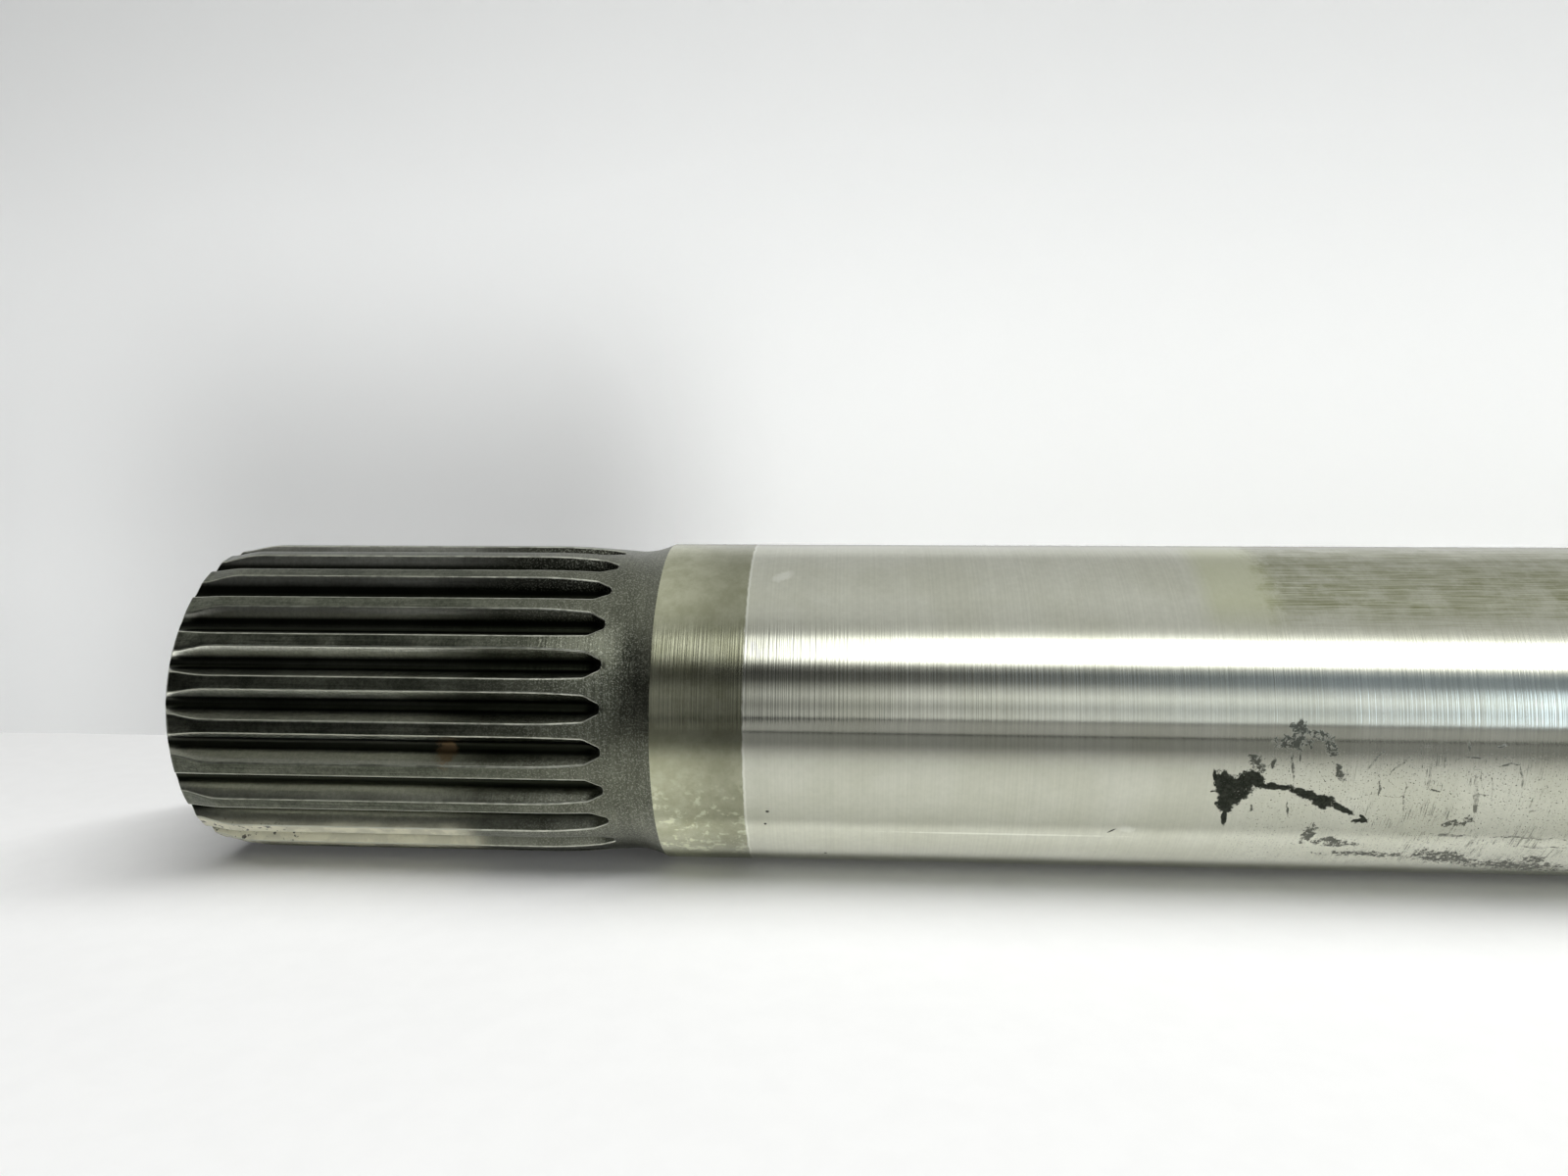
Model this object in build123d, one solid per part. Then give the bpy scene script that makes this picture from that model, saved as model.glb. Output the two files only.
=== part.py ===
from build123d import *

import os
from math import acos, cos, pi, radians, sin, tan

# Transmission input shaft, turned, rolled and ground from one steel bar.
# The axis of the shaft is X and +Z is up. The front splined end is at -X.
# The origin lies on the axis, in the middle of the journal.

# Journal, the long ground middle of the shaft
journal_diameter = 38.1
journal_length = 220.0
shoulder_edge_radius = 0.4

# Splined ends, alike at the front and at the rear
end_length = 55.1

# Involute spline with a fillet root
module = 1.5
tooth_count = 24
pressure_angle = 30.0
addendum = 0.5 * module
dedendum = 0.9 * module
root_fillet = 0.4 * module
tooth_edge_break = 0.15

# Run-out of each groove, where the floor climbs to the neck in an arc
run_out_radius = 3.2
full_depth_from_shoulder = 8.3

# Relief neck between the teeth and the shoulder, and the crown that leads down to it.
# Its depth is counted from the teeth's tips, or from the journal where that is thinner.
neck_depth = 0.62
neck_arc = 8.5
neck_taper = 4.8
crown_arc = 70.0

# Nose of each end: a slow lead-in on the teeth, a short plain land and a bevel past the root
lead_in_depth = 0.7
lead_in_angle = 12.5
nose_land = 0.6
bevel_past_root = 0.075
bevel_angle = 55.0

# Centre hole in each end face, for turning and grinding between centres
centre_mouth_diameter = 10.6
centre_cone_angle = 60.0
centre_drill_diameter = 5.0
centre_drill_length = 6.0
drill_point_angle = 118.0

# How far the shape that is taken away for a groove reaches past the tips and the end face
overshoot = 0.6

journal_radius = journal_diameter / 2
pitch_radius = module * tooth_count / 2
base_radius = pitch_radius * cos(radians(pressure_angle))
tip_radius = pitch_radius + addendum
root_radius = pitch_radius - dedendum
neck_radius = min(tip_radius, journal_radius) - neck_depth
nose_radius = tip_radius - lead_in_depth
face_edge_radius = root_radius - bevel_past_root
pitch_step = 360 / tooth_count
shoulder_x = journal_length / 2
face_x = shoulder_x + end_length


def involute(angle):
    """The involute function of an angle in radians."""
    return tan(angle) - angle


def groove_half_angle(radius):
    """Half of the angle that a tooth space takes up at this radius, in radians."""
    at_pitch = pi / (2 * tooth_count)
    flank_angle = acos(base_radius / radius)
    return at_pitch - involute(radians(pressure_angle)) + involute(flank_angle)


def flank_point(radius, side):
    """A point of a groove's flank in its cross-section, with the groove pointing up."""
    turn = side * groove_half_angle(radius)
    return (radius * sin(turn), radius * cos(turn))


def arc_point(start_radius, arc, slope, way):
    """The step along X and the radius, where an arc level at its start has reached this slope."""
    return arc * sin(slope), start_radius + way * arc * (1 - cos(slope))


def neck_and_crown():
    """The outline from the shoulder out to the full spline diameter, as edges at (distance, radius)."""
    drop = journal_radius - neck_radius
    rise_angle = acos((neck_arc - drop) / neck_arc)
    low_x = neck_arc * sin(rise_angle)
    taper = radians(neck_taper)

    def neck_point(slope, side):
        step, radius = arc_point(neck_radius, neck_arc, slope, 1)
        return (low_x + side * step, radius)

    taper_start = neck_point(taper, 1)
    crown_step, crown_low = arc_point(tip_radius, crown_arc, taper, -1)
    taper_end = (taper_start[0] + (crown_low - taper_start[1]) / tan(taper), crown_low)
    crown_top = (taper_end[0] + crown_step, tip_radius)
    half_step, half_low = arc_point(tip_radius, crown_arc, taper / 2, -1)
    return [
        ThreePointArc((0, journal_radius), neck_point(rise_angle / 2, -1), (low_x, neck_radius)),
        ThreePointArc((low_x, neck_radius), neck_point(taper / 2, 1), taper_start),
        Line(taper_start, taper_end),
        ThreePointArc(taper_end, (crown_top[0] - half_step, half_low), crown_top),
    ]


def nose_points():
    """The corners of the outline from the start of the lead-in to the edge of the end face."""
    bevel_length = (nose_radius - face_edge_radius) / tan(radians(bevel_angle))
    bevel_start = end_length - bevel_length
    land_start = bevel_start - nose_land
    lead_in_start = land_start - lead_in_depth / tan(radians(lead_in_angle))
    return [
        (lead_in_start, tip_radius),
        (land_start, nose_radius),
        (bevel_start, nose_radius),
        (end_length, face_edge_radius),
    ]


def centre_hole_points():
    """The corners of the outline of the centre hole, from its mouth to the drill's point."""
    mouth = centre_mouth_diameter / 2
    drill = centre_drill_diameter / 2
    cone_end = end_length - (mouth - drill) / tan(radians(centre_cone_angle / 2))
    drill_end = cone_end - centre_drill_length
    point = drill_end - drill / tan(radians(drill_point_angle / 2))
    return [(end_length, mouth), (cone_end, drill), (drill_end, drill), (point, 0)]


def end_outline():
    """The half outline of the rear end, from the shoulder to the bottom of the centre hole."""
    curve = neck_and_crown()
    crown_top = curve[-1] @ 1
    corners = [(crown_top.X, crown_top.Y), *nose_points(), *centre_hole_points()]
    sides = [Line(start, end) for start, end in zip(corners, corners[1:])]
    return [Pos(shoulder_x, 0, 0) * edge for edge in (*curve, *sides)]


def turned_blank():
    """The shaft as it leaves the lathe and the grinder, before the grooves are formed."""
    rear = end_outline()
    front = [edge.mirror(Plane.YZ) for edge in rear]
    bottom_x = (rear[-1] @ 1).X
    journal = Line((-shoulder_x, journal_radius), (shoulder_x, journal_radius))
    axis = Line((-bottom_x, 0), (bottom_x, 0))
    blank = revolve(make_face([*front, journal, *rear, axis]), Axis.X, 360)
    shoulders = [
        edge
        for edge in blank.edges().filter_by(GeomType.CIRCLE)
        if abs(abs(edge.arc_center.X) - shoulder_x) < 0.01
    ]
    return fillet(shoulders, shoulder_edge_radius)


def groove_section():
    """The cross-section of one tooth space, open past the teeth's tips, pointing along +Y."""
    edge = tip_radius - tooth_edge_break
    middle = (root_radius + edge) / 2
    mouth = tip_radius + overshoot
    outline = [ThreePointArc(flank_point(root_radius, -1), (0, root_radius), flank_point(root_radius, 1))]
    mouth_ends = []
    for side in (-1, 1):
        flank_edge = flank_point(edge, side)
        mouth_end = (flank_edge[0] + side * (mouth - edge), flank_edge[1] + mouth - edge)
        flank = ThreePointArc(flank_point(root_radius, side), flank_point(middle, side), flank_edge)
        outline.append(flank)
        outline.append(Line(flank_edge, mouth_end))
        mouth_ends.append(mouth_end)
    outline.append(Line(*mouth_ends))
    section = make_face(outline)
    floor_corners = section.vertices().sort_by(Axis.Y)[:2]
    return fillet(floor_corners, root_fillet)


def groove_cutter():
    """The space of one groove at the rear end: its straight length and then its run-out."""
    start = shoulder_x + full_depth_from_shoulder
    section = Pos(start, 0, 0) * (Plane.YZ * groove_section())
    straight = extrude(section, face_x + overshoot - start, dir=(1, 0, 0))
    run_out_axis = Axis((start, 0, root_radius + run_out_radius), (0, -1, 0))
    run_out = revolve(section, run_out_axis, 90)
    return straight + run_out


def input_shaft():
    """The finished shaft, with the same spline at both ends."""
    rear_cutter = groove_cutter()
    front_cutter = rear_cutter.mirror(Plane.YZ)
    cutters = []
    for number in range(tooth_count):
        turn = Rot(X=(number + 0.5) * pitch_step)
        cutters.append(turn * rear_cutter)
        cutters.append(turn * front_cutter)
    return turned_blank() - cutters


os.makedirs("parts", exist_ok=True)
export_step(input_shaft(), "parts/input_shaft.step")
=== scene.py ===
from math import acos, atan, atan2, cos, degrees, hypot, pi, radians, sin, sqrt, tan

import bpy
import numpy as np
from mathutils import Euler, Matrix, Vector


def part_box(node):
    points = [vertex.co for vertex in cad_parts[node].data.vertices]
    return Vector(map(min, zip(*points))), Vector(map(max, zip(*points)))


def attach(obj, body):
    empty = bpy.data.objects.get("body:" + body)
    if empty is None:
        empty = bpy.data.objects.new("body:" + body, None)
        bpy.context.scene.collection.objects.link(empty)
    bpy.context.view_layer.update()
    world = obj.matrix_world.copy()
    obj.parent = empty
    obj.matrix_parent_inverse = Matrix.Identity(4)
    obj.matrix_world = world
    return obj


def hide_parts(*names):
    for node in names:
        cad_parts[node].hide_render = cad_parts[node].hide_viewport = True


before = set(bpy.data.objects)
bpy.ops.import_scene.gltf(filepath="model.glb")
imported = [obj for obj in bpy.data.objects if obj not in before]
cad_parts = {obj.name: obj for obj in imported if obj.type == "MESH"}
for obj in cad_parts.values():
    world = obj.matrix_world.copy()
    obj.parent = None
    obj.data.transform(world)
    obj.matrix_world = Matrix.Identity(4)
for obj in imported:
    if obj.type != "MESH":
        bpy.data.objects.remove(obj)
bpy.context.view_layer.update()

# One millimetre in scene units. Sizes of the shaft below are in millimetres.
MM = 0.001

# Overall sizes, read from the frame
shaft_low, shaft_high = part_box("input_shaft")
journal_radius = shaft_high.z / MM
face_x = shaft_high.x / MM
end_length = 55.1
shoulder_x = face_x - end_length
shoulder_edge_radius = 0.4

# Involute spline with a fillet root
module = 1.5
tooth_count = 24
pressure_angle = radians(30.0)
pitch_radius = module * tooth_count / 2
base_radius = pitch_radius * cos(pressure_angle)
tip_radius = pitch_radius + 0.5 * module
root_radius = pitch_radius - 0.9 * module
root_fillet = 0.4 * module
half_pitch = pi / tooth_count

# Run-out of each groove towards the neck
run_out_radius = 2.15
full_depth_from_shoulder = 7.6

# Relief neck and crown
neck_depth = 0.62
neck_radius = tip_radius - neck_depth
neck_arc = 8.5
neck_taper = radians(4.8)
crown_arc = 70.0

# Nose of each end
lead_in_depth = 0.7
lead_in_angle = radians(12.5)
nose_land = 0.6
nose_radius = tip_radius - lead_in_depth
face_edge_radius = root_radius - 0.075
bevel_angle = radians(55.0)

# Centre hole in each end face
hole_mouth_radius = 5.3
hole_drill_radius = 2.5
hole_cone_angle = radians(60.0)
hole_drill_length = 6.0
hole_point_angle = radians(118.0)

# Worn roundness of the teeth's edges and of the corners of the outline
tooth_edge_wear = 0.16
corner_wear = 0.25

# Points on half of a tooth space: along the groove, round its lip and across the land
groove_shares = (0.0, 0.03, 0.09, 0.15, 0.21, 0.28, 0.4, 0.6, 0.8, 1.0)
lip_shares = (0.25, 0.5, 0.75)
land_shares = (0.0, 0.25, 1.0)
half_count = len(groove_shares) + len(lip_shares) + len(land_shares)
hole_segments = 144

# How far the rounding reaches at the start of the lead-in
lead_in_wear = 1.2

# Mesh at the groove's tip: how near the first grooved ring is, and how the points gather towards it
first_groove_step = 0.012
gather_length = 1.6
gather_share = 0.85

# The photograph's camera, at the photograph's place
photo_width = 1600
photo_height = 1200
camera_place = Vector((-0.08826, -0.13276, 0.02728))
camera_angles = Euler((radians(90 - 5.792), 0, radians(3.657)))
camera_lens = 25.2
sensor_width = 36.0

# Faces that meet at more than this angle have a sharp edge
sharp_angle = radians(38)

# How far the journal's finish reaches past the shoulder
journal_overlap = 0.12

# Zones of the mesh, each with its own finish
JOURNAL, SPLINE, FACE = range(3)


def corner_curve(before, corner, after, reach, count=7):
    """A worn corner: a curve that leaves the line before the corner and joins the line after it."""
    start = corner + (before - corner) * min(reach / np.linalg.norm(before - corner), 0.45)
    end = corner + (after - corner) * min(reach / np.linalg.norm(after - corner), 0.45)
    shares = np.linspace(0, 1, count)[:, None]
    return (1 - shares) ** 2 * start + 2 * shares * (1 - shares) * corner + shares ** 2 * end


def end_outline():
    """The outline from the shoulder to the edge of the end face, as (distance from shoulder, radius)."""
    drop = journal_radius - neck_radius
    entry = acos((neck_arc - drop) / neck_arc)
    low_x = neck_arc * sin(entry)
    slopes = np.linspace(-entry, neck_taper, 30)
    neck = np.stack([low_x + neck_arc * np.sin(slopes), neck_radius + neck_arc * (1 - np.cos(slopes))], 1)
    crown_slopes = np.linspace(neck_taper, 0, 16)
    taper_rise = tip_radius - crown_arc * (1 - cos(neck_taper)) - neck[-1, 1]
    crown_end = neck[-1, 0] + taper_rise / tan(neck_taper) + crown_arc * sin(neck_taper)
    crown = np.stack([crown_end - crown_arc * np.sin(crown_slopes),
                      tip_radius - crown_arc * (1 - np.cos(crown_slopes))], 1)
    bevel_start = end_length - (nose_radius - face_edge_radius) / tan(bevel_angle)
    land_start = bevel_start - nose_land
    lead_in_start = land_start - lead_in_depth / tan(lead_in_angle)
    corners = np.array([crown[-1], (lead_in_start, tip_radius), (land_start, nose_radius),
                        (bevel_start, nose_radius), (end_length, face_edge_radius)])
    shoulder = np.array([(-3.0, journal_radius), (0.0, journal_radius), neck[4]])
    edge_reach = shoulder_edge_radius * tan(entry / 2)
    pieces = [corner_curve(*shoulder, edge_reach), neck[2:], crown]
    for index, reach in ((1, lead_in_wear), (2, corner_wear), (3, corner_wear)):
        pieces.append(corner_curve(*corners[index - 1:index + 2], reach))
    pieces.append(corners[-1:])
    return np.concatenate(pieces), crown_end, lead_in_start, land_start, bevel_start


def groove_section():
    """Half of a tooth space's section, closely spaced from the middle of its floor up past the lip."""
    start_angle = pi / (2 * tooth_count) - (tan(pressure_angle) - pressure_angle)
    centre_radius = root_radius + root_fillet
    reach = sqrt(centre_radius ** 2 - base_radius ** 2)
    roll = (reach - root_fillet) / base_radius
    centre_angle = start_angle + roll - atan(reach / base_radius)
    centre = np.array([centre_radius * sin(centre_angle), centre_radius * cos(centre_angle)])
    floor_angles = np.linspace(0, centre_angle, 6)
    floor = root_radius * np.stack([np.sin(floor_angles), np.cos(floor_angles)], 1)
    # The fillet swings from straight down to the normal of the flank
    swing = np.linspace(pi + centre_angle, pi / 2 + start_angle + roll, 60)
    fillet = centre + root_fillet * np.stack([np.sin(swing), np.cos(swing)], 1)
    rolls = np.linspace(roll, sqrt((journal_radius / base_radius) ** 2 - 1), 200)
    angles = start_angle + rolls - np.arctan(rolls)
    radii = base_radius * np.sqrt(1 + rolls ** 2)
    flank = np.stack([radii * np.sin(angles), radii * np.cos(angles)], 1)
    return np.concatenate([floor, fillet[1:], flank[1:]])


section = groove_section()
outline, crown_end, lead_in_start, land_start, bevel_start = end_outline()


def outer_radius(distance):
    """The radius of the turned outline at this distance from the shoulder."""
    return float(np.interp(distance, outline[:, 0], outline[:, 1]))


def groove_floor(distance):
    """The height of the middle of a groove's floor at this distance from the shoulder."""
    left = max(full_depth_from_shoulder - distance, 0.0)
    return root_radius + run_out_radius - sqrt(max(run_out_radius ** 2 - left ** 2, 0.0))


def groove_tip():
    """The distance from the shoulder where a groove's floor comes out of the neck."""
    deep, plain = full_depth_from_shoulder, full_depth_from_shoulder - run_out_radius
    for _ in range(40):
        middle = (deep + plain) / 2
        if groove_floor(middle) < outer_radius(middle):
            deep = middle
        else:
            plain = middle
    return deep


def half_space(distance):
    """The angles and radii of half a tooth space at this distance, or None where the ring is plain."""
    outer = outer_radius(distance)
    left = max(full_depth_from_shoulder - distance, 0.0)
    axis_height = root_radius + run_out_radius
    arm = axis_height - section[:, 1]
    across, height = section[:, 0], section[:, 1]
    if left > 0:
        reached = arm > left
        across = across[reached]
        height = axis_height - np.sqrt(arm[reached] ** 2 - left ** 2)
    radius = np.hypot(across, height)
    if radius[0] >= outer:
        return None
    crossing = int(np.argmax(radius >= outer))
    share = (outer - radius[crossing - 1]) / (radius[crossing] - radius[crossing - 1])
    walk = np.stack([across, height], 1)
    lip = walk[crossing - 1] + share * (walk[crossing] - walk[crossing - 1])
    walk = np.concatenate([walk[:crossing], lip[None]])
    steps = np.concatenate([[0], np.cumsum(np.linalg.norm(np.diff(walk, axis=0), axis=1))])
    wear = min(tooth_edge_wear, 0.3 * steps[-1])
    places = np.array(groove_shares) * (steps[-1] - wear)
    groove = np.stack([np.interp(places, steps, walk[:, 0]), np.interp(places, steps, walk[:, 1])], 1)
    lip_angle = np.arctan2(lip[0], lip[1])
    land_angle = lip_angle + wear / outer
    land_edge = outer * np.array([sin(land_angle), cos(land_angle)])
    turns = np.array(lip_shares)[:, None]
    edge = (1 - turns) ** 2 * groove[-1] + 2 * turns * (1 - turns) * lip + turns ** 2 * land_edge
    land_angles = land_angle + np.array(land_shares) * (half_pitch - land_angle)
    points = np.concatenate([groove, edge])
    angles = np.concatenate([np.arctan2(points[:, 0], points[:, 1]), land_angles])
    radii = np.concatenate([np.hypot(points[:, 0], points[:, 1]), np.full(len(land_angles), outer)])
    return angles, radii


def end_rings():
    """The rings of one end from the shoulder out to the face: (distance, angles, radii, groove or not)."""
    tip = groove_tip()
    even = np.linspace(0, half_pitch, half_count)
    first = tip + first_groove_step
    tip_angles = half_space(first)[0]
    rings = []
    shoulder = outline[:6:2, 0]
    neck = np.linspace(0.35, tip - 0.12, 9)
    for distance in (*shoulder, *neck):
        blend = np.clip((distance - (tip - gather_length)) / gather_length, 0, gather_share)
        angles = even + (tip_angles - even) * blend
        rings.append((distance, angles, np.full(half_count, outer_radius(distance)), 0.0))
    run_out = first + (full_depth_from_shoulder - first) * np.linspace(0, 1, 19) ** 1.7
    crown = np.linspace(full_depth_from_shoulder, crown_end, 6)[1:]
    nose = [lead_in_start - lead_in_wear, lead_in_start - 0.5, lead_in_start,
            lead_in_start + 0.5, lead_in_start + lead_in_wear,
            land_start - corner_wear, land_start, land_start + corner_wear,
            bevel_start - corner_wear, bevel_start - 0.08]
    bevel = bevel_start + (end_length - bevel_start) * np.array([0.05, 0.12, 0.3, 0.5, 0.68, 0.8, 0.88, 0.93])
    for distance in (*run_out, *crown, *nose, *bevel):
        angles, radii = half_space(distance)
        rings.append((distance, angles, radii, 1.0))
    rings.append((end_length, even, np.full(half_count, face_edge_radius), 0.0))
    return rings


def full_ring(x, half_angles, half_radii):
    """One ring of points round the shaft at x, from the angles and radii of half a tooth space."""
    angles, radii = [], []
    for number in range(tooth_count):
        middle = (2 * number + 1) * half_pitch
        angles.extend(middle + half_angles)
        radii.extend(half_radii)
        angles.extend(middle + 2 * half_pitch - half_angles[-2:0:-1])
        radii.extend(half_radii[-2:0:-1])
    angles, radii = np.array(angles), np.array(radii)
    return np.stack([np.full(len(angles), x), -radii * np.sin(angles), radii * np.cos(angles)], 1)


def hole_rings():
    """The rings of a centre hole as (distance from shoulder, radius), and where the drill's point ends."""
    cone_end = end_length - (hole_mouth_radius - hole_drill_radius) / tan(hole_cone_angle / 2)
    drill_end = cone_end - hole_drill_length
    rings = [(end_length, hole_mouth_radius + 0.1), (end_length - 0.1, hole_mouth_radius - 0.05),
             (cone_end, hole_drill_radius), (drill_end, hole_drill_radius)]
    return rings, drill_end - hole_drill_radius / tan(hole_point_angle / 2)


def ring_marks(grooved):
    """The edge wear and the groove walls round one ring, both nothing where it has no grooves."""
    half_wear = np.zeros(half_count)
    lip = slice(len(groove_shares) - 1, len(groove_shares) + len(lip_shares) + 1)
    half_wear[lip] = (0.3, 0.9, 1.0, 0.8, 0.4)
    half_wall = np.array([1.0] * len(groove_shares) + [0.75, 0.5, 0.25] + [0.0] * len(land_shares))
    wear = np.concatenate([half_wear, half_wear[-2:0:-1]]) * grooved
    # Only the flanks that carry the load, the upper ones at the front, are rubbed bright
    wall = np.concatenate([half_wall * 0.5, half_wall[-2:0:-1]]) * grooved
    return np.tile(wear, tooth_count), np.tile(wall, tooth_count)


def side_faces(places, count):
    """The faces between the rings at these places, and the zone of each face."""
    faces, zones = [], []
    for row in range(len(places) - 1):
        from_shoulder = (abs(places[row]) + abs(places[row + 1])) / 2 - shoulder_x
        on_journal = places[row] * places[row + 1] < 0 or from_shoulder < journal_overlap
        for column in range(count):
            after = (column + 1) % count
            faces.append((row * count + column, row * count + after,
                          (row + 1) * count + after, (row + 1) * count + column))
            zones.append(JOURNAL if on_journal else SPLINE)
    return faces, zones


def end_faces(vertices, side, painted_edge_highlight, count):
    """The faces of one end and its centre hole. The points of the hole are added to the vertices."""
    hole, bottom = hole_rings()
    step = count // hole_segments
    first = len(vertices)
    for distance, radius in hole:
        for number in range(hole_segments):
            angle = (number + 0.5) * step * 2 * pi / count + half_pitch
            x = side * (shoulder_x + distance)
            vertices.append(np.array([x, -radius * sin(angle), radius * cos(angle)]))
    vertices.append(np.array([side * (shoulder_x + bottom), 0.0, 0.0]))
    faces = []
    last = first + (len(hole) - 1) * hole_segments
    for number in range(hole_segments):
        after = (number + 1) % hole_segments
        for near in range(step):
            outer_near = painted_edge_highlight + (number * step + near) % count
            outer_far = painted_edge_highlight + (number * step + near + 1) % count
            faces.append((outer_far, outer_near, first + number))
        faces.append((painted_edge_highlight + (after * step) % count, first + number, first + after))
        for row in range(len(hole) - 1):
            near_row, far_row = first + row * hole_segments, first + (row + 1) * hole_segments
            faces.append((near_row + after, near_row + number, far_row + number, far_row + after))
        faces.append((last + after, last + number, len(vertices) - 1))
    return [face[::-1] for face in faces] if side > 0 else faces


def shaft_mesh():
    """The shaft as one closed mesh, with its zones as material numbers and its wear as attributes."""
    rings = end_rings()
    whole = [(-shoulder_x - ring[0], *ring[1:]) for ring in reversed(rings)]
    whole += [(shoulder_x + ring[0], *ring[1:]) for ring in rings]
    points = [full_ring(x, angles, radii) for x, angles, radii, _ in whole]
    wear, walls = zip(*(ring_marks(grooved) for _, _, _, grooved in whole))
    count = len(points[0])
    faces, zones = side_faces([ring[0] for ring in whole], count)
    vertices = list(np.concatenate(points))
    for side, painted_edge_highlight in ((-1, 0), (1, (len(points) - 1) * count)):
        faces += end_faces(vertices, side, painted_edge_highlight, count)
    mesh = bpy.data.meshes.new("input_shaft_body")
    mesh.from_pydata([Vector(point) * MM for point in vertices], [], faces)
    mesh.polygons.foreach_set("material_index", zones + [FACE] * (len(faces) - len(zones)))
    mesh.validate()
    for name, values in (("edge_wear", np.concatenate(wear)), ("groove_wall", np.concatenate(walls))):
        layer = mesh.attributes.new(name, "FLOAT", "POINT")
        values = np.concatenate([values, np.zeros(len(vertices) - len(values))])
        layer.data.foreach_set("value", values.astype(np.float32))
    mesh.shade_smooth()
    mesh.set_sharp_from_angle(angle=sharp_angle)
    return mesh


class Recipe:
    """The nodes of one finish or one effect, added and joined one after another."""

    def __init__(self, tree):
        self.tree = tree

    def add(self, kind, inputs=None, **settings):
        """A new node with these inputs and settings."""
        node = self.tree.nodes.new(kind)
        for name, value in settings.items():
            setattr(node, name, value)
        for socket, value in (inputs or {}).items():
            self.feed(node.inputs[socket], value)
        return node

    def feed(self, socket, value):
        """Gives an input its value, or joins it to another node's output."""
        if isinstance(value, bpy.types.NodeSocket):
            self.tree.links.new(value, socket)
        else:
            socket.default_value = value

    def sum(self, operation, *values):
        """One step of arithmetic on values."""
        return self.add("ShaderNodeMath", dict(enumerate(values)), operation=operation).outputs[0]

    def product(self, first, *others):
        """All of the values multiplied, one after another."""
        for value in others:
            first = self.sum("MULTIPLY", first, value)
        return first

    def total(self, first, *others):
        """All of the values added, one after another."""
        for value in others:
            first = self.sum("ADD", first, value)
        return first

    def strongest(self, first, *others):
        """The largest of the values."""
        for value in others:
            first = self.sum("MAXIMUM", first, value)
        return first

    def distance(self, across, up):
        """The straight distance that these two make up."""
        return self.sum("SQRT", self.total(self.product(across, across), self.product(up, up)))

    def fade(self, value, start, end, low=0.0, high=1.0):
        """Low before start, high after end and smooth in between."""
        inputs = {"Value": value, "From Min": start, "From Max": end, "To Min": low, "To Max": high}
        return self.add("ShaderNodeMapRange", inputs, interpolation_type="SMOOTHSTEP").outputs[0]

    def window(self, value, start, end, edge):
        """1 between start and end, with smooth edges of this width."""
        rise = self.fade(value, start - edge / 2, start + edge / 2)
        fall = self.fade(value, end - edge / 2, end + edge / 2, 1.0, 0.0)
        return self.product(rise, fall)

    def shaft_position(self):
        """The place on the shaft in millimetres, as a vector and as its three values."""
        spot = self.add("ShaderNodeTexCoord").outputs["Object"]
        spot = self.scaled(spot, 1 / MM)
        return spot, *self.add("ShaderNodeSeparateXYZ", {0: spot}).outputs

    def scaled(self, vector, value):
        """A vector made longer or shorter by a value, or a colour made lighter or darker."""
        return self.add("ShaderNodeVectorMath", {0: vector, "Scale": value}, operation="SCALE").outputs[0]

    def noise(self, spot, scale, detail=3.0, roughness=0.55):
        """Cloudy noise from 0 to 1."""
        inputs = {"Vector": spot, "Scale": scale, "Detail": detail, "Roughness": roughness}
        return self.add("ShaderNodeTexNoise", inputs).outputs[0]

    def blend(self, share, below, above):
        """The colour above laid over the colour below by this share."""
        node = self.add("ShaderNodeMix", data_type="RGBA")
        for index, value in ((0, share), (6, below), (7, above)):
            self.feed(node.inputs[index], value)
        return node.outputs[2]


def effect(name, inputs, build):
    """A node group for one effect: its named inputs, and one value out."""
    tree = bpy.data.node_groups.new(name, "ShaderNodeTree")
    for label, value in inputs.items():
        socket = tree.interface.new_socket(label, in_out="INPUT", socket_type="NodeSocketFloat")
        socket.default_value = value
    tree.interface.new_socket("Value", in_out="OUTPUT", socket_type="NodeSocketFloat")
    recipe = Recipe(tree)
    given = recipe.add("NodeGroupInput").outputs
    recipe.add("NodeGroupOutput", {"Value": build(recipe, given)})
    return tree


def stretched_noise(recipe, spot, along_step, across_scale):
    """Noise that changes at one pace along the shaft and at another across it."""
    across = recipe.add("ShaderNodeVectorMath", {0: spot, 1: (0, 1, 1)}, operation="MULTIPLY").outputs[0]
    across = recipe.scaled(across, across_scale)
    step = recipe.add("ShaderNodeCombineXYZ", {0: along_step}).outputs[0]
    spot = recipe.add("ShaderNodeVectorMath", {0: step, 1: across}, operation="ADD").outputs[0]
    return recipe.noise(spot, 1.0, 3.0, 0.6)


def past_level(recipe, value, given):
    """A mask that rises where the value passes the level, over the softness."""
    level, half = given["Level"], recipe.product(given["Softness"], 0.5)
    return recipe.fade(value, recipe.sum("SUBTRACT", level, half), recipe.total(level, half))


def turning_lines(recipe, given):
    """Fine lines that run round the shaft, as the lathe or the grinding wheel leaves them."""
    spot, along, _, _ = recipe.shaft_position()
    along_step = recipe.total(recipe.sum("DIVIDE", along, given["Width"]), given["Shift"])
    return recipe.fade(stretched_noise(recipe, spot, along_step, given["Change Around"]), 0.3, 0.7)


def lengthwise_lines(recipe, given):
    """Lines and scratches that run along the shaft, where something slid on it."""
    spot, along, _, _ = recipe.shaft_position()
    along_step = recipe.total(recipe.sum("DIVIDE", along, given["Length"]), given["Shift"])
    across_scale = recipe.sum("DIVIDE", 1.0, given["Width"])
    return past_level(recipe, stretched_noise(recipe, spot, along_step, across_scale), given)


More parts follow.
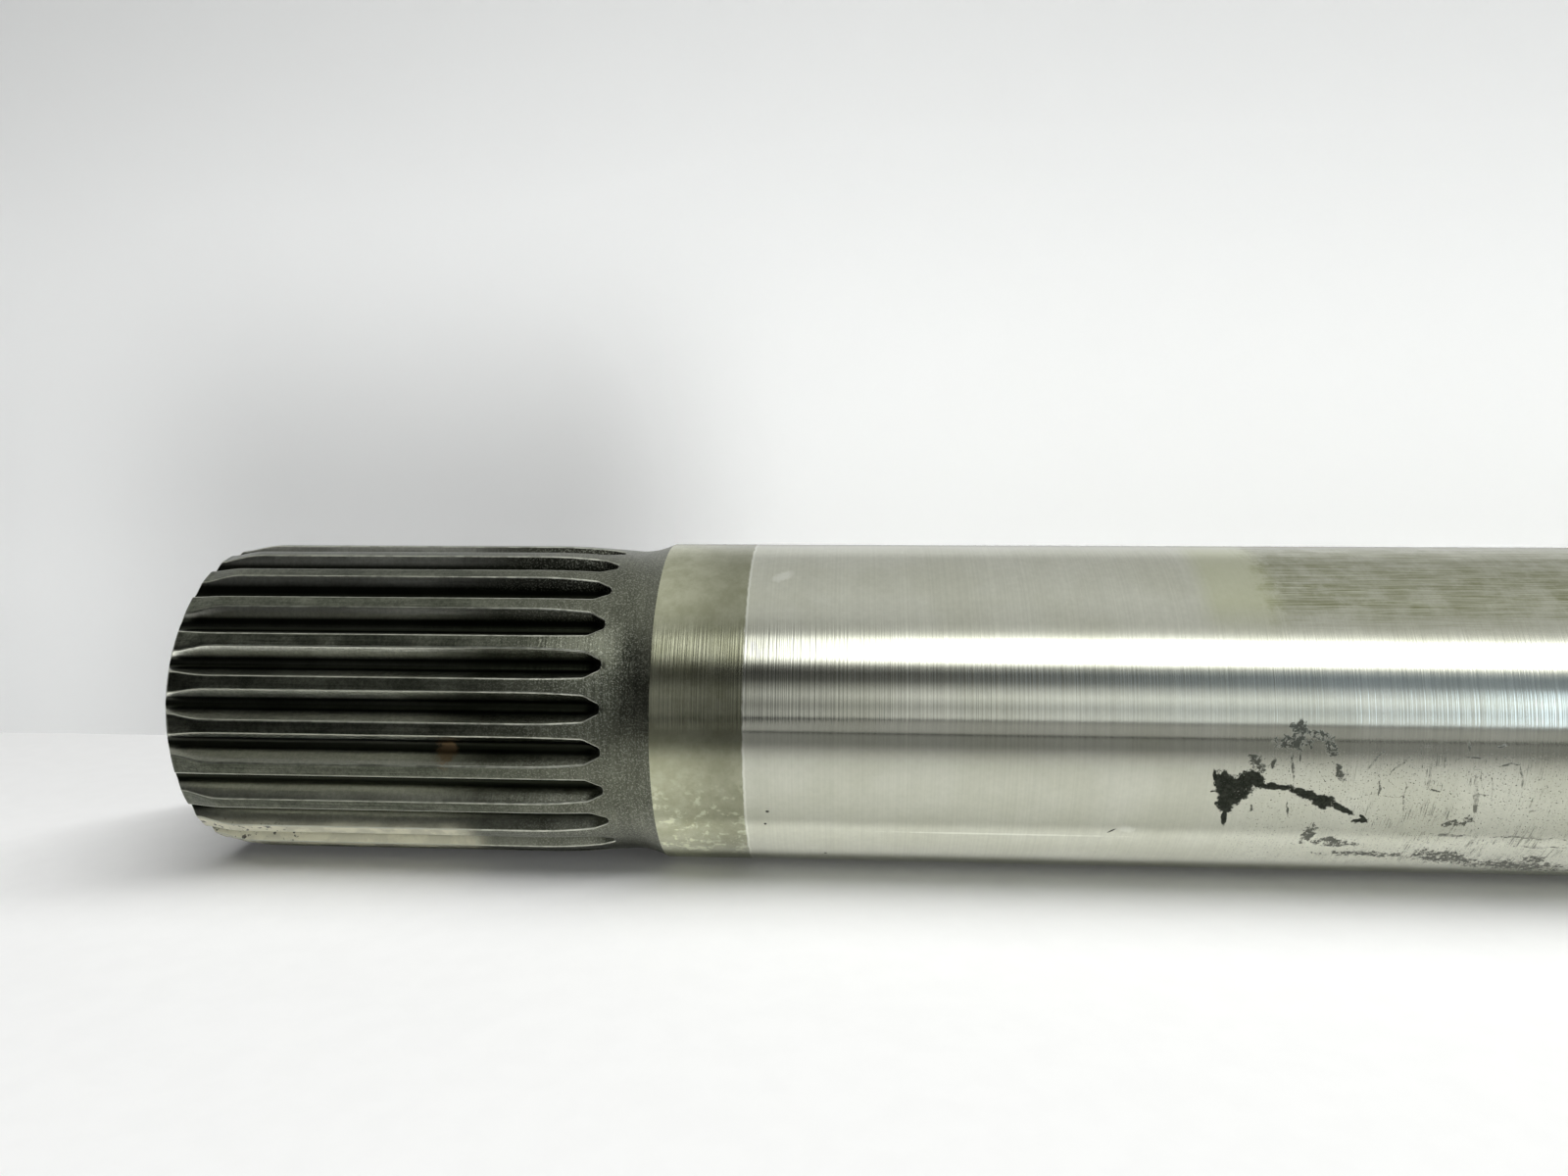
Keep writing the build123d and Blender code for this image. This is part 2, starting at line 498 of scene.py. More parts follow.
def speckle(recipe, given):
    """Small spots of one size, more or fewer of them by the level."""
    spot, _, _, _ = recipe.shaft_position()
    spot = recipe.scaled(spot, recipe.sum("DIVIDE", 1.0, given["Size"]))
    shift = recipe.add("ShaderNodeCombineXYZ", {0: given["Shift"]}).outputs[0]
    spot = recipe.add("ShaderNodeVectorMath", {0: spot, 1: shift}, operation="ADD").outputs[0]
    return past_level(recipe, recipe.noise(spot, 1.0, 2.0, 0.6), given)


def stain(recipe, given):
    """A ragged spot or streak at one place: lengths in millimetres, angles in degrees from the top."""
    length = recipe.sum("SUBTRACT", given["Distance"], given["Along"])
    turn = recipe.sum("SUBTRACT", given["Angle"], given["Around"])
    across = recipe.product(turn, journal_radius * pi / 180)
    tilt = recipe.sum("RADIANS", given["Tilt"])
    tilt_cos, tilt_sin = recipe.sum("COSINE", tilt), recipe.sum("SINE", tilt)
    major = recipe.total(recipe.product(length, tilt_cos), recipe.product(across, tilt_sin))
    minor = recipe.sum("SUBTRACT", recipe.product(across, tilt_cos), recipe.product(length, tilt_sin))
    major = recipe.sum("DIVIDE", major, given["Half Length"])
    minor = recipe.sum("DIVIDE", minor, given["Half Width"])
    away = recipe.total(recipe.distance(major, minor), recipe.product(given["Rag"], given["Raggedness"]))
    return recipe.fade(away, 0.5, 1.4, 1.0, 0.0)


LINES = effect("turning_lines", {"Width": 0.4, "Change Around": 0.05, "Shift": 0.0}, turning_lines)
SLIDES = effect("lengthwise_lines",
                {"Width": 0.3, "Length": 20.0, "Level": 0.5, "Softness": 0.2, "Shift": 0.0}, lengthwise_lines)
SPOTS = effect("speckle", {"Size": 0.5, "Level": 0.6, "Softness": 0.1, "Shift": 0.0}, speckle)
STAIN = effect("stain", {"Distance": 0.0, "Angle": 0.0, "Rag": 0.0, "Along": 0.0, "Around": 0.0,
                         "Half Length": 1.0, "Half Width": 1.0, "Tilt": 0.0, "Raggedness": 0.6}, stain)


def place(recipe, group, **values):
    """One use of an effect in a finish, with its own values."""
    inputs = {name.replace("_", " ").title(): value for name, value in values.items()}
    return recipe.add("ShaderNodeGroup", inputs, node_tree=group).outputs[0]


def finish_material(name):
    """An empty steel finish: its material, its recipe and its shader."""
    material = bpy.data.materials.new(name)
    material.use_nodes = True
    recipe = Recipe(material.node_tree)
    shader = material.node_tree.nodes["Principled BSDF"]
    shader.inputs["Metallic"].default_value = 1.0
    return material, recipe, shader


def bumped(recipe, height, distance):
    """The direction of a surface that is raised by the height times the distance, in millimetres."""
    inputs = {"Height": height, "Distance": distance * MM, "Strength": 1.0}
    return recipe.add("ShaderNodeBump", inputs).outputs[0]


def around_angle(recipe, side, height):
    """Degrees round the shaft from the top towards the front."""
    turn = recipe.sum("ARCTAN2", recipe.product(side, -1.0), height)
    return recipe.sum("DEGREES", turn)


def journal_place(pixel_x, pixel_y):
    """Where the camera sees the journal at a pixel: millimetres along and degrees from the top."""
    focal_pixels = camera_lens / sensor_width * photo_width
    right, up = pixel_x - photo_width / 2, photo_height / 2 - pixel_y
    ray = Vector((right / focal_pixels, up / focal_pixels, -1))
    ray.rotate(camera_angles)
    start = camera_place / MM
    square = ray.y ** 2 + ray.z ** 2
    slope = start.y * ray.y + start.z * ray.z
    beyond = start.y ** 2 + start.z ** 2 - journal_radius ** 2
    spot = start + ray * ((-slope - sqrt(slope ** 2 - square * beyond)) / square)
    return spot.x, degrees(atan2(-spot.y, spot.z))


# Strokes of the marks on the journal, read off an enlargement of the photograph. Some of the black
# ones were then made larger. The enlargement is four times as large and starts at this pixel.
# Each stroke is its two ends and its width there.
enlargement = 4
enlargement_x = 1220
enlargement_y = 720

# A stroke's half length is at least this, in millimetres
least_half_length = 0.15
# Shares of its half width that a stroke reaches past its ends and out to its sides, where its mask fades
end_reach = 0.5
side_reach = 1.15
# How far to both sides of a place the enlargement is compared, to find the size of its pixels there
probe = 16

# Black residue: the blot on the left, and the arc that runs down to the right
black_strokes = [
    (72, 262, 88, 315, 16), (96, 300, 160, 352, 73), (146, 336, 244, 294, 61), (122, 336, 120, 435, 60),
    (118, 400, 112, 492, 23), (203, 272, 272, 324, 44), (118, 406, 214, 329, 38), (238, 319, 412, 337, 28),
    (374, 330, 506, 380, 31), (470, 366, 560, 405, 42), (545, 398, 645, 442, 20), (645, 476, 705, 470, 16),
    (676, 452, 702, 480, 10), (56, 346, 80, 346, 7),
]
# Speckled residue above, below and to the right of the arc
speckled_strokes = [
    (330, 150, 470, 162, 62), (402, 72, 448, 112, 46), (440, 112, 575, 146, 36), (540, 155, 578, 196, 36),
    (425, 185, 425, 245, 6), (235, 212, 272, 262, 42), (318, 215, 322, 262, 22), (565, 235, 600, 300, 24),
    (960, 342, 1000, 350, 9), (1000, 492, 1135, 468, 28), (465, 545, 655, 572, 34), (426, 575, 492, 472, 40),
    (490, 600, 900, 612, 18), (870, 600, 1150, 640, 46), (1090, 640, 1520, 668, 38),
    (1330, 622, 1425, 640, 26), (226, 398, 229, 435, 10), (376, 398, 376, 452, 8),
]
# Fine dark scratches round and along the journal
fine_strokes = [
    (400, 185, 397, 322, 9), (698, 262, 775, 172, 10), (785, 290, 882, 203, 7), (747, 296, 748, 372, 9),
    (857, 288, 846, 450, 9), (1140, 275, 1138, 472, 18), (1163, 255, 1166, 335, 7),
    (1116, 145, 1120, 195, 13), (1206, 285, 1212, 395, 9), (1331, 245, 1332, 345, 9),
    (1055, 228, 1195, 212, 7), (1210, 244, 1352, 249, 6), (1222, 164, 1282, 168, 14),
    (1250, 214, 1455, 223, 5), (1098, 358, 1235, 366, 6), (748, 372, 912, 374, 4),
    (1358, 437, 1422, 437, 7), (1178, 534, 1520, 545, 8), (945, 524, 1150, 536, 12),
    (1280, 577, 1520, 583, 9),
]


def enlarged_place(x, y):
    """Where a point of the enlargement is on the journal."""
    return journal_place(enlargement_x + x / enlargement, enlargement_y + y / enlargement)


def mark(start_x, start_y, end_x, end_y, width):
    """A stroke on the journal: place along, angle, half length and half width in millimetres, and tilt."""
    start_along, start_angle = enlarged_place(start_x, start_y)
    end_along, end_angle = enlarged_place(end_x, end_y)
    length = end_along - start_along
    rise = radians(end_angle - start_angle) * journal_radius
    tilt = atan2(rise, length)
    middle_x, middle_y = (start_x + end_x) / 2, (start_y + end_y) / 2
    # Millimetres to one pixel of the enlargement, along and round the journal
    right_along = enlarged_place(middle_x + probe, middle_y)[0]
    left_along = enlarged_place(middle_x - probe, middle_y)[0]
    low_angle = enlarged_place(middle_x, middle_y + probe)[1]
    high_angle = enlarged_place(middle_x, middle_y - probe)[1]
    along_pixel = (right_along - left_along) / (2 * probe)
    round_pixel = radians(low_angle - high_angle) * journal_radius / (2 * probe)
    half = width / 2 * (round_pixel * abs(cos(tilt)) + along_pixel * abs(sin(tilt)))
    half_length = max(hypot(length, rise) / 2, least_half_length) + end_reach * half
    half_width = side_reach * half
    along, around = (start_along + end_along) / 2, (start_angle + end_angle) / 2
    return along, around, half_length, half_width, degrees(tilt)


black_marks = [mark(*stroke) for stroke in black_strokes]
speckled_marks = [mark(*stroke) for stroke in speckled_strokes]
fine_scratches = [mark(*stroke) for stroke in fine_strokes]

# Small marks given straight: place along, angle, half length, half width and tilt
pits = [(-97.5, 118, 0.2, 0.15, 0), (-97.8, 124, 0.15, 0.15, 0), (-91.3, 144, 0.2, 0.15, 0),
        (-60.4, 124, 0.5, 0.1, -40)]
bright_scratches = [(-72.0, 127, 11.5, 0.15, 0), (-96.2, 32, 1.3, 0.7, -35), (-58.9, 123, 0.9, 0.5, 10)]


def stroke_mask(recipe, marks, raggedness, along, angle, rag):
    """The mask of several strokes together."""
    value = 0.0
    for mark_along, around, half_length, half_width, tilt in marks:
        stroke = place(recipe, STAIN, distance=along, angle=angle, rag=rag, along=mark_along, around=around,
                       half_length=half_length, half_width=half_width, tilt=tilt, raggedness=raggedness)
        value = recipe.strongest(value, stroke)
    return value


# Where the fitted band ends on the journal, in millimetres along the shaft
band_edge = -99.85


def ground_journal():
    """Ground steel, with a dull fitted band at the front and residue and tarnish towards the middle."""
    material, recipe, shader = finish_material("ground_journal")
    spot, along, side, height = recipe.shaft_position()
    angle = around_angle(recipe, side, height)
    fine = place(recipe, LINES, width=0.22, change_around=0.015)
    broad = place(recipe, LINES, width=2.2, change_around=0.008, shift=7.0)
    cloud = recipe.fade(recipe.noise(spot, 0.12, 4.0), 0.35, 0.65)
    clean = recipe.blend(cloud, (0.50, 0.505, 0.42, 1), (0.54, 0.545, 0.465, 1))
    # Turning lines are faint all round and painted stronger where the lamp's reflection and the dark gap
    # below it fall: painted reflection streaks
    line_strength_painted_in_gap = recipe.total(0.06, recipe.product(recipe.window(angle, 58.0, 92.0, 6.0), 0.1))
    mottle = recipe.fade(recipe.noise(spot, 1.3, 4.0, 0.7), 0.3, 0.7, -0.03, 0.03)
    light = recipe.total(0.95, recipe.product(fine, line_strength_painted_in_gap), recipe.product(broad, 0.02), mottle)
    colour = recipe.scaled(clean, light)
    # Tarnish on the upper side, cut through by lengthwise scratches
    slides = place(recipe, SLIDES, width=0.13, length=6.0, level=0.5, softness=0.25)
    wide_slides = place(recipe, SLIDES, width=0.45, length=18.0, level=0.48, softness=0.3, shift=9.0)
    upper = recipe.window(angle, -75.0, 50.0, 16.0)
    along_edge = recipe.total(along, recipe.fade(recipe.noise(spot, 0.6, 4.0, 0.7), 0.25, 0.75, -1.6, 1.6))
    reach = recipe.product(recipe.fade(along_edge, -45.0, -42.0), recipe.fade(along, 0.0, 85.0, 1.0, 0.0))
    patchy = recipe.fade(recipe.noise(spot, 0.35, 5.0, 0.7), 0.35, 0.6, 0.6, 1.0)
    narrow_cuts = recipe.fade(slides, 0.0, 1.0, 0.58, 1.0)
    wide_cuts = recipe.fade(wide_slides, 0.0, 1.0, 0.72, 1.0)
    tarnish = recipe.product(upper, reach, patchy, narrow_cuts, wide_cuts)
    colour = recipe.blend(tarnish, colour, (0.20, 0.205, 0.11, 1))
    pale_lines = place(recipe, SLIDES, width=0.1, length=8.0, level=0.6, softness=0.08, shift=31.0)
    colour = recipe.blend(recipe.product(upper, reach, pale_lines, 0.6), colour, (0.58, 0.60, 0.47, 1))
    edge = recipe.product(recipe.window(along, -50.5, -43.0, 3.0), upper, 0.5)
    colour = recipe.blend(edge, colour, (0.47, 0.49, 0.30, 1))
    # The dull band next to the front shoulder
    wander = recipe.total(along, recipe.product(recipe.noise(spot, 0.9, 3.0), 0.3))
    band = recipe.fade(wander, band_edge - 0.1, band_edge + 0.15, 1.0, 0.0)
    pale = place(recipe, SPOTS, size=1.1, level=0.6, softness=0.16)
    band_cloud = recipe.fade(recipe.noise(spot, 0.4, 5.0, 0.7), 0.3, 0.7)
    band_colour = recipe.blend(band_cloud, (0.29, 0.295, 0.20, 1), (0.38, 0.385, 0.28, 1))
    pale = recipe.product(pale, recipe.fade(angle, 100.0, 120.0), 0.7)
    band_colour = recipe.blend(pale, band_colour, (0.60, 0.62, 0.46, 1))
    near = recipe.fade(along, -110.0, -101.0, 1.3, 0.85)
    # The band is painted darker across the angles where the dark gap below the lamp's reflection falls:
    # painted shade
    painted_gap_shade = recipe.product(recipe.window(angle, 62.0, 96.0, 8.0), 0.3)
    band_colour = recipe.scaled(recipe.scaled(band_colour, near), recipe.sum("SUBTRACT", 1.0, painted_gap_shade))
    colour = recipe.blend(band, colour, band_colour)
    # A pale line along the band's edge stands in for the glint of a small worn step: a painted highlight
    painted_edge_highlight = recipe.window(wander, band_edge, band_edge + 0.25, 0.2)
    colour = recipe.blend(recipe.product(painted_edge_highlight, 0.5), colour, (0.75, 0.76, 0.68, 1))
    # Bright scratches, black residue and fine dark scratches, all with wavering and broken edges
    rag = recipe.sum("SUBTRACT", recipe.noise(spot, 1.1, 6.0, 0.75), 0.5)
    crumbs = recipe.product(recipe.sum("SUBTRACT", recipe.noise(spot, 1.9, 6.0, 0.8), 0.5), 3.4)
    waver = recipe.sum("SUBTRACT", recipe.noise(spot, 0.5, 2.0), 0.5)
    along_waver = recipe.total(along, waver)
    angle_waver = recipe.total(angle, recipe.product(waver, 4.0))

    def broken(marks, raggedness, core, start, end):
        mask = stroke_mask(recipe, marks, raggedness, along_waver, angle_waver, rag)
        mask = recipe.total(recipe.product(mask, core), crumbs)
        return recipe.fade(mask, start, end)

    rubbed = stroke_mask(recipe, bright_scratches, 1.5, along, angle, rag)
    colour = recipe.blend(recipe.product(rubbed, 0.4), colour, (0.80, 0.81, 0.74, 1))
    dirt = broken(black_marks, 1.4, 1.6, 0.8, 1.3)
    spread = recipe.product(broken(speckled_marks, 2.6, 1.05, 0.76, 1.0), 0.85)
    gaps = recipe.fade(recipe.noise(spot, 0.8, 5.0, 0.75), 0.42, 0.56, 0.15, 0.75)
    lines = recipe.product(broken(fine_scratches, 1.6, 1.1, 0.68, 1.05), gaps)
    dirt = recipe.strongest(dirt, spread, lines, stroke_mask(recipe, pits, 0.6, along, angle, rag))
    # Loose specks all over the stained stretch
    specks = place(recipe, SPOTS, size=0.17, level=0.65, softness=0.06, shift=5.0)
    stretch = recipe.product(recipe.window(along, -48.0, 30.0, 8.0), recipe.window(angle, 92.0, 142.0, 10.0))
    dirt = recipe.strongest(dirt, recipe.product(specks, stretch, 0.7))
    # Hair-thin scratches along and around, in patches
    hair_along = place(recipe, SLIDES, width=0.07, length=1.7, level=0.66, softness=0.05, shift=17.0)
    hair_around = recipe.fade(place(recipe, LINES, width=0.1, change_around=0.35, shift=15.0), 0.7, 0.78)
    hair = recipe.strongest(hair_along, hair_around)
    where = recipe.product(recipe.window(along, -36.0, 20.0, 9.0), recipe.window(angle, 90.0, 142.0, 8.0))
    patches = recipe.fade(recipe.noise(spot, 0.3, 4.0, 0.7), 0.46, 0.6)
    dirt = recipe.strongest(dirt, recipe.product(hair, where, patches, 0.6))
    residue = recipe.blend(recipe.fade(crumbs, -0.5, 0.5), (0.012, 0.014, 0.010, 1), (0.050, 0.055, 0.042, 1))
    colour = recipe.blend(dirt, colour, residue)
    rough = recipe.total(0.1, recipe.product(fine, 0.03), recipe.product(tarnish, 0.08),
                         recipe.product(band, 0.1), recipe.product(dirt, 0.45))
    recipe.feed(shader.inputs["Base Color"], colour)
    recipe.feed(shader.inputs["Roughness"], rough)
    recipe.feed(shader.inputs["Normal"], bumped(recipe, recipe.total(fine, dirt), 0.007))
    shader.inputs["Anisotropic"].default_value = 0.5
    shader.inputs["Anisotropic Rotation"].default_value = 0.25
    tangent = recipe.add("ShaderNodeTangent", direction_type="RADIAL", axis="X")
    recipe.feed(shader.inputs["Tangent"], tangent.outputs[0])
    return material


# Where the painted shade on the spline's upper side fades out, in degrees from the top
upper_shade_edge = (38.0, 66.0)

# Radii between which the near-black of the groove floors, partly dark oxide and partly painted shade, ends,
# and above which the tops of the teeth begin
black_floor_oxide_and_shade = (16.95, 17.55)
tooth_top = (17.2, 17.8)


def rolled_spline():
    """Dark oxidised steel: a dull neck with light specks, partly grain and partly painted glints, then teeth
    with bright flanks and edges.
    """
    material, recipe, shader = finish_material("rolled_spline")
    spot, along, side, height = recipe.shaft_position()
    radius = recipe.distance(side, height)
    reach = recipe.sum("SUBTRACT", recipe.sum("ABSOLUTE", along), shoulder_x)
    cloud = recipe.fade(recipe.noise(spot, 0.25, 4.0, 0.6), 0.3, 0.7)
    # Tops of the teeth
    land = recipe.blend(cloud, (0.070, 0.076, 0.056, 1), (0.112, 0.118, 0.090, 1))
    slides = place(recipe, SLIDES, width=0.35, length=9.0, level=0.5, softness=0.35)
    grain = recipe.fade(recipe.noise(spot, 2.2, 6.0, 0.8), 0.35, 0.65, 0.72, 1.28)
    land = recipe.scaled(land, recipe.product(recipe.fade(slides, 0.0, 1.0, 0.8, 1.2), grain))
    # Neck
    fine = place(recipe, LINES, width=0.3, change_around=0.12)
    neck = recipe.blend(cloud, (0.098, 0.103, 0.076, 1), (0.13, 0.135, 0.102, 1))
    neck = recipe.scaled(neck, recipe.fade(fine, 0.0, 1.0, 0.85, 1.15))
    colour = recipe.blend(recipe.fade(reach, 6.0, 24.0), neck, land)
    # Flanks and groove floors. The mating teeth have polished the loaded flanks from the nose to the middle
    # of the spline.
    wall = recipe.add("ShaderNodeAttribute", attribute_name="groove_wall").outputs["Fac"]
    contact = recipe.fade(reach, 17.0, 30.0)
    bright = recipe.blend(recipe.fade(wall, 0.6, 0.95), (0.24, 0.245, 0.20, 1), (0.90, 0.91, 0.80, 1))
    flank = recipe.blend(cloud, (0.10, 0.105, 0.08, 1), (0.16, 0.165, 0.13, 1))
    flank = recipe.blend(contact, flank, bright)
    flank = recipe.scaled(flank, recipe.total(0.5, recipe.product(grain, 0.5)))
    # The flanks on the upper side are painted darker, and the groove floors' black is painted further up
    # there: painted shade
    angle = around_angle(recipe, side, height)
    flank = recipe.scaled(flank, recipe.fade(angle, *upper_shade_edge, 0.3, 1.0))
    colour = recipe.blend(recipe.fade(wall, 0.1, 0.45), colour, flank)
    depth = recipe.sum("SUBTRACT", radius, recipe.fade(angle, *upper_shade_edge, 0.6, 0.0))
    # Groove floors near black: partly dark oxide, partly painted shade in the hollows
    groove_oxide_and_shade = recipe.product(recipe.fade(depth, *black_floor_oxide_and_shade, 1.0, 0.0), 0.97)
    colour = recipe.blend(groove_oxide_and_shade, colour, (0.014, 0.016, 0.010, 1))
    # The lowest tooth at the front is rubbed pale, with dark pits, and one groove has a rust spot
    outside = recipe.fade(radius, *tooth_top)
    front = recipe.fade(along, 0.0, 1.0, 1.0, 0.0)
    pale = recipe.product(recipe.window(angle, 132.0, 162.0, 3.0), recipe.fade(reach, 20.0, 24.0), front,
                          outside, recipe.fade(cloud, 0.1, 0.6, 0.7, 1.0))
    colour = recipe.blend(recipe.product(pale, 0.9), colour, (0.66, 0.64, 0.47, 1))
    recipe.feed(shader.inputs["Metallic"], recipe.fade(pale, 0.0, 1.0, 1.0, 0.25))
    pitted = place(recipe, SPOTS, size=0.7, level=0.62, softness=0.1, shift=3.0)
    pitted = recipe.product(pitted, pale, recipe.fade(reach, 42.0, 45.0))
    colour = recipe.blend(pitted, colour, (0.03, 0.028, 0.02, 1))
    rag = recipe.sum("SUBTRACT", recipe.noise(spot, 1.2, 5.0, 0.7), 0.5)
    rust = place(recipe, STAIN, distance=along, angle=angle, rag=rag, along=-132.9, around=99.0,
                 half_length=1.1, half_width=1.2, raggedness=2.4)
    colour = recipe.blend(recipe.product(rust, 0.75), colour, (0.17, 0.115, 0.06, 1))
    edge = recipe.add("ShaderNodeAttribute", attribute_name="edge_wear").outputs["Fac"]
    broken = recipe.fade(recipe.noise(spot, 0.8, 3.0), 0.35, 0.6, 0.5, 1.0)
    worn = recipe.product(recipe.fade(edge, 0.35, 0.9), broken)
    worn_colour = recipe.blend(recipe.fade(reach, 10.0, 26.0), (0.62, 0.63, 0.54, 1), (0.46, 0.47, 0.39, 1))
    colour = recipe.blend(worn, colour, worn_colour)
    # Light specks near the neck: partly grain, partly painted glints
    near_neck = recipe.fade(reach, 7.0, 24.0, 1.0, 0.12)
    grain_and_painted_glints = place(recipe, SPOTS, size=0.2, level=0.57, softness=0.12)
    grain_and_painted_glints = recipe.product(grain_and_painted_glints, near_neck, outside)
    colour = recipe.blend(recipe.product(grain_and_painted_glints, 0.45), colour, (0.38, 0.39, 0.32, 1))
    recipe.feed(shader.inputs["Base Color"], colour)
    recipe.feed(shader.inputs["Roughness"], recipe.fade(cloud, 0.0, 1.0, 0.28, 0.36))
    recipe.feed(shader.inputs["Normal"], bumped(recipe, recipe.total(slides, fine, grain_and_painted_glints), 0.008))
    return material


def faced_end():
    """The turned end face and the centre hole in it."""
    material, recipe, shader = finish_material("faced_end")
    spot, along, side, height = recipe.shaft_position()
    radius = recipe.distance(side, height)
    rings = recipe.add("ShaderNodeCombineXYZ", {0: recipe.product(radius, 4.0)}).outputs[0]
    rings = recipe.fade(recipe.noise(rings, 1.0, 3.0, 0.6), 0.3, 0.7)
    cloud = recipe.fade(recipe.noise(spot, 0.18, 4.0), 0.3, 0.7)
    colour = recipe.blend(cloud, (0.16, 0.165, 0.13, 1), (0.26, 0.265, 0.22, 1))
    colour = recipe.scaled(colour, recipe.fade(rings, 0.0, 1.0, 0.8, 1.2))
    recipe.feed(shader.inputs["Base Color"], colour)
    recipe.feed(shader.inputs["Roughness"], recipe.fade(rings, 0.0, 1.0, 0.3, 0.42))
    recipe.feed(shader.inputs["Normal"], bumped(recipe, rings, 0.012))
    return material


shaft = bpy.data.objects.new("input_shaft_body", shaft_mesh())
for material in (ground_journal(), rolled_spline(), faced_end()):
    shaft.data.materials.append(material)
bpy.context.scene.collection.objects.link(shaft)
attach(shaft, "root")
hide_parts("input_shaft")


def sheet(name, corners, material):
    """A flat stage sheet through these corners."""
    mesh = bpy.data.meshes.new(name)
    mesh.from_pydata(corners, [], [(0, 1, 2, 3)])
    mesh.materials.append(material)
    piece = bpy.data.objects.new(name, mesh)
    bpy.context.scene.collection.objects.link(piece)
    return piece


def paper(name, shade):
    """Plain pale paper."""
    material = bpy.data.materials.new(name)
    material.use_nodes = True
    recipe = Recipe(material.node_tree)
    shader = material.node_tree.nodes["Principled BSDF"]
    shader.inputs["Roughness"].default_value = 0.9
    shader.inputs["Specular IOR Level"].default_value = 0.1
    spot = recipe.add("ShaderNodeTexCoord").outputs["Object"]
    grain = recipe.fade(recipe.noise(spot, 300.0, 3.0), 0.3, 0.7, 0.985, 1.0)
    recipe.feed(shader.inputs["Base Color"], recipe.scaled(shade, grain))
    return material, recipe, shader


def level_corners(near_y, far_y, z):
    """The corners of a wide level sheet."""
    left, right = -floor_reach, floor_reach
    return [(left, near_y, z), (right, near_y, z), (right, far_y, z), (left, far_y, z)]


white = (1, 1, 1, 1)
floor_shade = (0.86, 0.865, 0.855)
floor_reach = 2.0
floor_z = shaft_low.z
floor_paper, recipe, shader = paper("floor_paper", floor_shade)
# The floor glows, faintly near the shaft and more far off, lifting its shade: painted light
shader.inputs["Emission Color"].default_value = white
spot = recipe.add("ShaderNodeTexCoord").outputs["Object"]
far = recipe.add("ShaderNodeVectorMath", {0: spot}, operation="LENGTH").outputs["Value"]
recipe.feed(shader.inputs["Emission Strength"], recipe.fade(far, 0.25, 1.2, 0.04, 0.75))
sheet("floor", level_corners(-floor_reach, floor_reach, floor_z), floor_paper)

# The backdrop can be seen only from its front, so that it hides nothing from other sides
wall_paper, recipe, shader = paper("wall_paper", (0.84, 0.86, 0.85))
behind = recipe.add("ShaderNodeNewGeometry").outputs["Backfacing"]
clear = recipe.add("ShaderNodeBsdfTransparent").outputs[0]
mixed = recipe.add("ShaderNodeMixShader", {0: behind, 1: shader.outputs[0], 2: clear}).outputs[0]
recipe.feed(wall_paper.node_tree.nodes["Material Output"].inputs["Surface"], mixed)
spot = recipe.add("ShaderNodeTexCoord").outputs["Object"]
wall_across, _, wall_up = recipe.add("ShaderNodeSeparateXYZ", {0: spot}).outputs
# A painted shadow above the spline
painted_wall_shadow = recipe.product(recipe.fade(wall_across, -0.14, -0.095, 0.36, 0.0),
                        recipe.fade(wall_up, 0.02, 0.075, 1.0, 0.0),
                        recipe.fade(wall_across, -0.235, -0.185, 0.35, 1.0))
# The wall is painted darker to the left and towards its top, and glows in step with that: painted shade and
# painted light
painted_wall_light = recipe.product(recipe.fade(wall_across, -0.3, -0.07, 0.74, 1.0),
                       recipe.fade(wall_up, 0.0, 0.14, 1.17, 0.66), recipe.sum("SUBTRACT", 1.0, painted_wall_shadow))
recipe.feed(shader.inputs["Base Color"], recipe.scaled((0.81, 0.825, 0.82), painted_wall_light))
shader.inputs["Emission Color"].default_value = white
recipe.feed(shader.inputs["Emission Strength"], recipe.product(painted_wall_light, 0.3))
wall_y, wall_height, wall_reach = 0.054, 0.3, 1.2
wall = sheet("wall", [(-wall_reach, wall_y, floor_z), (wall_reach, wall_y, floor_z),
                      (wall_reach, wall_y, wall_height), (-wall_reach, wall_y, wall_height)], wall_paper)
wall.visible_glossy = wall.visible_shadow = wall.visible_diffuse = False

# A sheet on the floor before the camera's place, which only the steel mirrors: its grey bands, dark edge line
# and glowing strip near the shaft are a painted reflection
painted_reflection_paper, recipe, shader = paper("painted_reflection_paper", floor_shade)
spot = recipe.add("ShaderNodeTexCoord").outputs["Object"]
card_across, card_side, _ = recipe.add("ShaderNodeSeparateXYZ", {0: spot}).outputs
gap = recipe.sum("SUBTRACT", 1.0, recipe.window(card_side, -0.124, -0.112, 0.006))
near_shaft = recipe.fade(card_side, -0.05, -0.036)
dark_left = recipe.fade(card_across, -0.172, -0.137, 0.05, 1.0)
shade = recipe.product(recipe.fade(card_side, -0.075, -0.032, 0.26, 1.0),
                       recipe.fade(card_side, -0.128, -0.116, 1.6, 1.0), gap,
                       recipe.strongest(dark_left, near_shaft))
recipe.feed(shader.inputs["Base Color"], recipe.scaled(floor_shade, shade))
shader.inputs["Emission Color"].default_value = white
# A strip near the shaft glows, to brighten the floor mirrored in the steel there: painted reflection
painted_reflection_glow = recipe.product(recipe.window(card_side, -0.0165, -0.0085, 0.003), 0.5)
recipe.feed(shader.inputs["Emission Strength"], painted_reflection_glow)
card_edge_y, card_thickness = -0.0055, 0.0002
card = sheet("card", level_corners(-floor_reach, card_edge_y, floor_z + card_thickness), painted_reflection_paper)
card.visible_camera = card.visible_shadow = card.visible_diffuse = False

